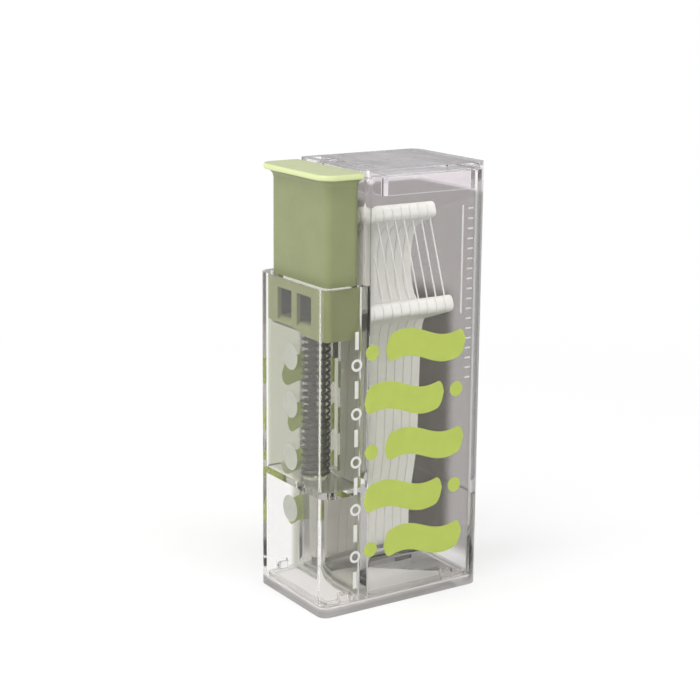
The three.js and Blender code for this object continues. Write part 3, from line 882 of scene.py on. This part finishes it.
def make_left_discs():
    bm = bmesh.new()
    for up in LEFT_DISC_HEIGHTS:
        add_disc(bm, left_point, LEFT_DISC_PLACE, up, LEFT_DISC_RADIUS)
    new_piece("left_discs", bm, grey_chalk, "case")


make_front_bands()
make_back_bands()
make_front_marks()
make_left_discs()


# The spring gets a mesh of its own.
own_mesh(spring)


# Studio

def look_from(azimuth, elevation):
    """Direction from the object towards a point at that azimuth and elevation."""
    return Vector((
        math.sin(azimuth) * math.cos(elevation),
        -math.cos(azimuth) * math.cos(elevation),
        math.sin(elevation),
    ))


def make_camera():
    data = bpy.data.cameras.new("photo_camera")
    data.lens = CAMERA_LENS
    data.sensor_width = SENSOR_WIDTH
    data.clip_start = CLIP_START
    data.clip_end = CLIP_END
    data.shift_x, data.shift_y = CAMERA_SHIFT
    camera = bpy.data.objects.new("photo_camera", data)
    camera.location = CAMERA_PLACE
    camera.rotation_mode = "QUATERNION"
    back = look_from(CAMERA_AZIMUTH, CAMERA_ELEVATION)
    level = Vector((0, 0, 1)).cross(back).normalized()
    right = Quaternion(back, CAMERA_ROLL) @ level
    up = back.cross(right)
    camera.rotation_quaternion = Matrix((right, up, back)).transposed().to_quaternion()
    bpy.context.scene.collection.objects.link(camera)
    bpy.context.scene.camera = camera


def make_lamp(name, azimuth, elevation, distance, width, height, power):
    data = bpy.data.lights.new(name, "AREA")
    data.shape = "RECTANGLE"
    data.size = width
    data.size_y = height
    data.energy = power
    lamp = bpy.data.objects.new(name, data)
    direction = look_from(math.radians(azimuth), math.radians(elevation))
    lamp.location = Vector(LAMP_TARGET) + direction * distance
    lamp.rotation_mode = "QUATERNION"
    lamp.rotation_quaternion = (-direction).to_track_quat("-Z", "Y")
    bpy.context.scene.collection.objects.link(lamp)


def seen(tree):
    """1 where a surface is looked at, directly, in a reflection or through the clear plastic."""
    path = light_path(tree)
    found = calculate(tree, "MAXIMUM", path["Is Camera Ray"], path["Is Glossy Ray"])
    return calculate(tree, "MAXIMUM", found, path["Is Transmission Ray"])


def make_floor():
    bm = bmesh.new()
    bmesh.ops.create_circle(bm, cap_ends=True, segments=FLOOR_SIDES, radius=FLOOR_RADIUS)
    mesh = bpy.data.meshes.new("floor")
    bm.to_mesh(mesh)
    bm.free()
    floor = bpy.data.objects.new("floor", mesh)
    floor.location.z = -FLOOR_GAP
    bpy.context.scene.collection.objects.link(floor)
    material, tree, shader, output = new_material("studio_floor")
    shader.inputs["Base Color"].default_value = FLOOR_COLOUR
    shader.inputs["Roughness"].default_value = FLOOR_ROUGHNESS
    shader.inputs["Specular IOR Level"].default_value = FLOOR_GLOSS
    distance = tree.nodes.new("ShaderNodeVectorMath")
    distance.operation = "LENGTH"
    tree.links.new(object_place(tree), distance.inputs[0])
    away = remap(tree, distance.outputs["Value"], (FLOOR_NEAR, FLOOR_FAR), (0, 1), True)
    shown = calculate(tree, "MAXIMUM", calculate(tree, "MULTIPLY", away, seen(tree)),
                      light_path(tree)["Is Transmission Ray"])
    paper = tree.nodes.new("ShaderNodeEmission")
    paper.inputs["Strength"].default_value = 1
    mixed = mix_shaders(tree, shown, shader.outputs["BSDF"], paper.outputs["Emission"])
    tree.links.new(mixed, output.inputs["Surface"])
    mesh.materials.append(material)


def make_world():
    world = bpy.data.worlds.new("studio")
    bpy.context.scene.world = world
    world.use_nodes = True
    tree = world.node_tree
    tree.nodes.clear()
    output = tree.nodes.new("ShaderNodeOutputWorld")
    lights = []
    for strength in (ROOM_LIGHT, 1):
        light = tree.nodes.new("ShaderNodeBackground")
        light.inputs["Color"].default_value = (1, 1, 1, 1)
        light.inputs["Strength"].default_value = strength
        lights.append(light.outputs["Background"])
    tree.links.new(mix_shaders(tree, seen(tree), *lights), output.inputs["Surface"])


make_camera()
make_floor()
make_world()
for lamp in LAMPS:
    make_lamp(*lamp)

bpy.context.scene.view_settings.view_transform = "Standard"
